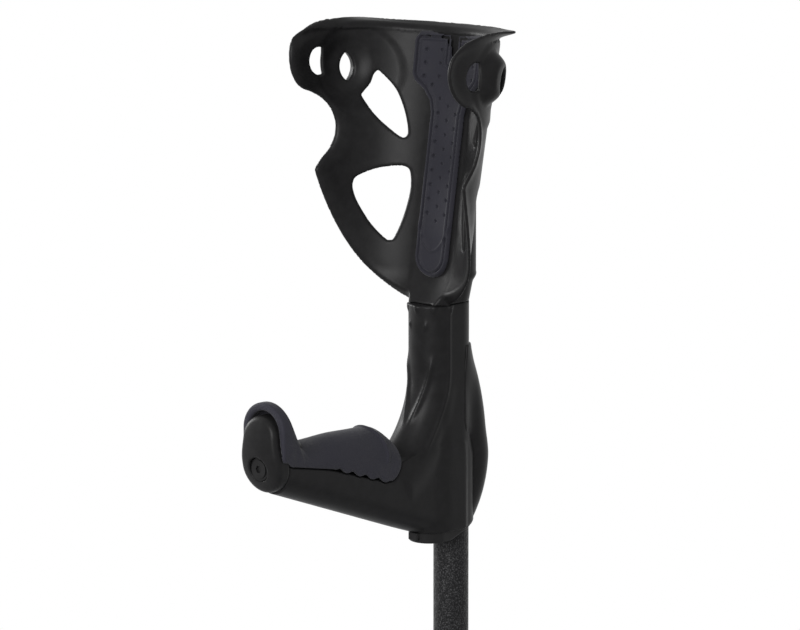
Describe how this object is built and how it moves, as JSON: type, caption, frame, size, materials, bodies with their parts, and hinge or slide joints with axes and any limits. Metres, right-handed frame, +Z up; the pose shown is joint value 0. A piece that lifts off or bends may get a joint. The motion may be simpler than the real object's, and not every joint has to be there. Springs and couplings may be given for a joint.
{
  "type": "forearm crutch",
  "caption": "Open-cuff forearm crutch with a padded grip handle, a height-adjustable cuff, a telescopic leg with push-button lock and a rubber ferrule.",
  "frame": {"origin": "centre of the ferrule's sole on the floor, on the tube axis", "axes": "+Z up along the tube; the handle points to -Y and the cuff opens to -Y; +X to the side"},
  "size_m": [0.149, 0.1977, 1.0845],
  "materials": {
    "black_moulding": "satin moulded black",
    "slate_pad": "soft grainy dark slate grey",
    "hammered_tube": "black hammered coating",
    "bare_tube": "satin anodised",
    "steel_small": "plain",
    "black_rubber": "matt"
  },
  "bodies": {
    "handle": {"handle_body": "black_moulding", "grip_pad": "slate_pad", "end_cap": "black_moulding", "end_cap_plug": "black_moulding", "end_cap_screw": "steel_small", "rear_cover": "black_moulding", "tube_screws": "steel_small", "socket_ring": "black_moulding", "upper_tube": "hammered_tube", "quiet_collar": "black_moulding", "cuff_post": "steel_small", "post_pin": "steel_small", "cuff_lock_spring": "steel_small"},
    "cuff_unit": {"cuff": "black_moulding", "cuff_pad": "slate_pad"},
    "cuff_button": {"cuff_lock_button": "steel_small"},
    "leg": {"lower_tube": "bare_tube", "lower_tube_guide": "black_moulding", "lower_end_plug": "black_moulding", "ferrule": "black_rubber", "ferrule_washer": "steel_small", "leg_lock_spring": "steel_small"},
    "leg_button": {"leg_lock_button": "steel_small"}
  },
  "joints": [
    {"name": "cuff_height", "type": "slide", "parent": "handle", "child": "cuff_unit", "axis": [0, 0, 1], "range_m": [0, 0.04], "deforming": ["cuff_lock_button"]},
    {"name": "cuff_lock", "type": "slide", "parent": "handle", "child": "cuff_button", "axis": [0, -1, 0], "range_m": [0, 0.004], "stiffness_N_per_m": 900, "springref_m": -0.001, "deforming": ["cuff_lock_spring"]},
    {"name": "leg_length", "type": "slide", "parent": "handle", "child": "leg", "axis": [0, 0, -1], "range_m": [-0.125, 0.1], "deforming": ["leg_lock_button"]},
    {"name": "leg_lock", "type": "slide", "parent": "leg", "child": "leg_button", "axis": [0, -1, 0], "range_m": [0, 0.0033], "stiffness_N_per_m": 1100, "springref_m": -0.001, "deforming": ["leg_lock_spring"]}
  ]
}
